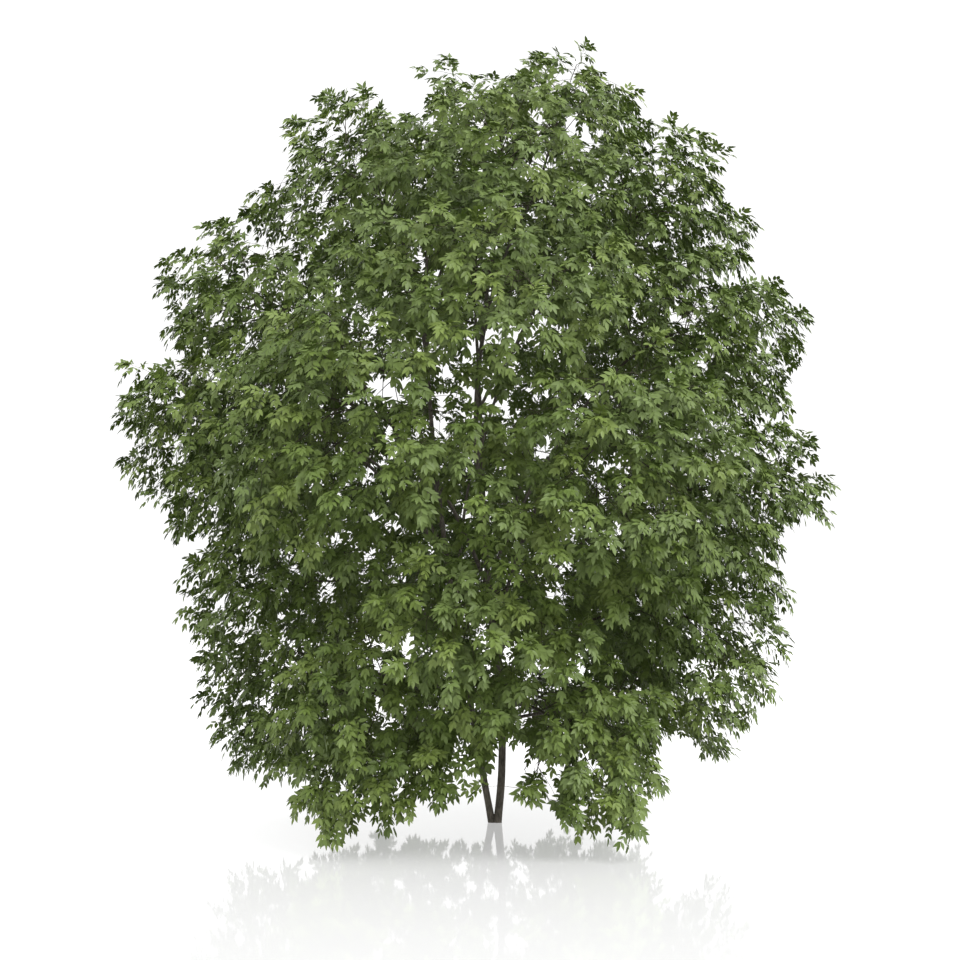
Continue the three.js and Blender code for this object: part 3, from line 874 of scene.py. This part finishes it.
def bark_material():
    """Grey-brown bark with fine furrows along the limb and paler and darker patches."""
    material = principled("bark", BARK_GREY, roughness=0.85, specular=0.3)
    nodes = material.node_tree.nodes
    links = material.node_tree.links
    shader = nodes["Principled BSDF"]
    place = nodes.new("ShaderNodeTexCoord")
    stretch = nodes.new("ShaderNodeMapping")
    stretch.inputs["Scale"].default_value = (1, 1, 0.16)
    links.new(place.outputs["Object"], stretch.inputs["Vector"])
    furrows = nodes.new("ShaderNodeTexNoise")
    furrows.inputs["Scale"].default_value = 140
    furrows.inputs["Detail"].default_value = 6
    furrows.inputs["Roughness"].default_value = 0.65
    links.new(stretch.outputs["Vector"], furrows.inputs["Vector"])
    patches = nodes.new("ShaderNodeTexNoise")
    patches.inputs["Scale"].default_value = 9
    patches.inputs["Detail"].default_value = 3
    links.new(place.outputs["Object"], patches.inputs["Vector"])
    both = nodes.new("ShaderNodeMath")
    both.operation = "MULTIPLY_ADD"
    both.inputs[1].default_value = 0.45
    links.new(patches.outputs["Fac"], both.inputs[0])
    links.new(furrows.outputs["Fac"], both.inputs[2])
    tone = nodes.new("ShaderNodeValToRGB")
    set_ramp(tone, (0.5, BARK_FURROW), (0.9, BARK_RIDGE))
    links.new(both.outputs["Value"], tone.inputs["Fac"])
    links.new(tone.outputs["Color"], shader.inputs["Base Color"])
    relief = nodes.new("ShaderNodeBump")
    relief.inputs["Strength"].default_value = 0.7
    relief.inputs["Distance"].default_value = 0.003
    links.new(furrows.outputs["Fac"], relief.inputs["Height"])
    links.new(relief.outputs["Normal"], shader.inputs["Normal"])
    return material


# Pieces of the plant

def add_stem_bark(bark):
    for seed, stem in enumerate(STEMS):
        z = stem["top"] * np.linspace(0, 1, STEM_RINGS) ** RING_CROWDING
        rings, faces = bark_limb(stem_point(stem, z), stem_radius(stem, z), STEM_SIDES, seed + 1)
        rings[..., 2] = z[:, None]
        piece = add_piece(f"bark_{stem['name']}", rings.reshape(-1, 3), faces, bark)
        dress(piece, [stem["name"]])


def add_bough_bark(boughs, bark):
    """All boughs in one piece, each with a collar where it leaves its stem."""
    limbs = []
    share = np.linspace(0, 1, BOUGH_RINGS)
    for seed, bough in enumerate(boughs):
        path = bezier(bough["curve"], share)
        length = np.linalg.norm(path[-1] - path[0])
        collar = 1 + COLLAR * np.exp(-share * length / COLLAR_LENGTH)
        radii = lerp(bough["base"], BOUGH_TIP, share) * collar
        rings, faces = bark_limb(path, radii, BOUGH_SIDES, seed + BOUGH_SEED)
        limbs.append((rings.reshape(-1, 3), faces))
    piece = add_piece("bark_boughs", *join(limbs), bark)
    dress(piece, [bough["name"] for bough in boughs])


def add_finer_wood(plant, masses, foliage_nodes):
    """The stems of the masses, the twigs and the shoots in one piece."""
    foot_radii = np.array([mass["foot_radius"] for mass in masses])
    stem_paths = np.array(plant.mass_stems)
    stem_places = np.linspace(0, 1, stem_paths.shape[1])
    stem_taper = lerp(foot_radii[:, None], MASS_STEM_TIP, stem_places[None])
    wood = [
        tubes(stem_paths, stem_taper, MASS_STEM_SIDES),
        tubes(*tapered(plant.twigs, TWIG_FOOT_RADIUS, SHOOT_FOOT_RADIUS), TWIG_SIDES),
        tubes(*tapered(plant.shoots, SHOOT_FOOT_RADIUS, WOOD_TIP_RADIUS), SHOOT_SIDES),
        tubes(*tapered(plant.side_shoots, SPRAY_FOOT_RADIUS, WOOD_TIP_RADIUS), SHOOT_SIDES),
    ]
    twig_brown = principled("twig_bark", TWIG_BROWN, roughness=0.75, specular=0.3)
    piece = add_piece("twigs", *join(wood), twig_brown)
    dress(piece, foliage_nodes)


def add_leaves(plant, foliage_nodes):
    """The leaves in a piece for each green, and their stalks in one piece."""
    ends = np.array(plant.spray_ends)
    headings = np.array(plant.spray_headings)
    deal = rng.choice(len(LEAF_TINTS), len(ends), p=[share for _, share in LEAF_TINTS])
    stalk_paths = []
    for tint, (colour, _) in enumerate(LEAF_TINTS):
        dealt = deal == tint
        roots, directions = leaf_roots(ends[dealt], headings[dealt])
        larger = rng.random(len(roots)) < FOUR_PAIR_SHARE
        blades = []
        for chosen, pairs in ((larger, 4), (~larger, 3)):
            corners, stalks = make_leaves(roots[chosen], directions[chosen], pairs)
            blades.append(corners)
            stalk_paths.append(stalks)
        green = principled(f"leaf_green_{tint + 1}", colour, roughness=0.5, specular=0.4)
        piece = add_piece(f"leaves_{tint + 1}", *leaflet_mesh(np.concatenate(blades)), green)
        dress(piece, foliage_nodes)
    stalk_green = principled("stalk_green", STALK_GREEN, roughness=0.6, specular=0.3)
    piece = add_piece("leaf_stalks", *ribbons(np.concatenate(stalk_paths), STALK_WIDTH), stalk_green)
    dress(piece, foliage_nodes)


# Floor, light and camera

def add_floor():
    """A pale, glossy floor that throws no light up into the crown."""
    corners = np.array([[-1, -1, 0], [1, -1, 0], [1, 1, 0], [-1, 1, 0]]) * FLOOR_SIDE / 2 - FLOOR_DEPTH * UP
    pale = principled("floor", FLOOR_GREY, roughness=0.04, specular=0.25)
    shader = pale.node_tree.nodes["Principled BSDF"]
    shader.inputs["Emission Color"].default_value = (*STUDIO_WHITE, 1)
    shader.inputs["Emission Strength"].default_value = FLOOR_GLOW
    floor = add_piece("floor", corners, np.array([[0, 1, 2, 3]]), pale)
    floor.visible_diffuse = False
    floor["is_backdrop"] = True


def add_studio():
    """A white studio, darker below so that the undersides of the leaves stay in shade."""
    world = bpy.data.worlds.new("studio")
    world.use_nodes = True
    nodes = world.node_tree.nodes
    links = world.node_tree.links
    place = nodes.new("ShaderNodeTexCoord")
    heights = nodes.new("ShaderNodeSeparateXYZ")
    half = nodes.new("ShaderNodeMath")
    half.operation = "MULTIPLY_ADD"
    half.inputs[1].default_value = 0.5
    half.inputs[2].default_value = 0.5
    shade = nodes.new("ShaderNodeValToRGB")
    set_ramp(shade, (0.3, STUDIO_BELOW), (0.45, STUDIO_WHITE))
    nodes["Background"].inputs["Strength"].default_value = STUDIO_STRENGTH
    links.new(place.outputs["Generated"], heights.inputs["Vector"])
    links.new(heights.outputs["Z"], half.inputs[0])
    links.new(half.outputs["Value"], shade.inputs["Fac"])
    links.new(shade.outputs["Color"], nodes["Background"].inputs["Color"])
    bpy.context.scene.world = world


def add_key_light():
    """A broad, soft light from above and the right."""
    sun = bpy.data.objects.new("key_light", bpy.data.lights.new("key_light", "SUN"))
    sun.data.energy = KEY_STRENGTH
    sun.data.angle = math.radians(KEY_SPREAD)
    sun.rotation_euler = [math.radians(turn) for turn in KEY_TURN]
    bpy.context.scene.collection.objects.link(sun)


def add_camera():
    camera = bpy.data.objects.new("camera", bpy.data.cameras.new("camera"))
    camera.data.sensor_width = SENSOR_WIDTH
    camera.data.lens = LENS
    camera.location = EYE
    camera.rotation_euler = (math.radians(CAMERA_PITCH), 0, 0)
    bpy.context.scene.collection.objects.link(camera)
    bpy.context.scene.camera = camera
    bpy.context.scene.view_settings.view_transform = "Standard"


masses = place_masses()
boughs = add_boughs(masses)
plant = grow_plant(masses, boughs)
foliage_nodes = [f"foliage_{mass['name']}" for mass in masses]

bark = bark_material()
add_stem_bark(bark)
add_bough_bark(boughs, bark)
add_finer_wood(plant, masses, foliage_nodes)
add_leaves(plant, foliage_nodes)
add_floor()
add_studio()
add_key_light()
add_camera()

boxes = {"cad": cad_box, "visual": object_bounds()}
{name: [list(corner) for corner in box] for name, box in boxes.items()}
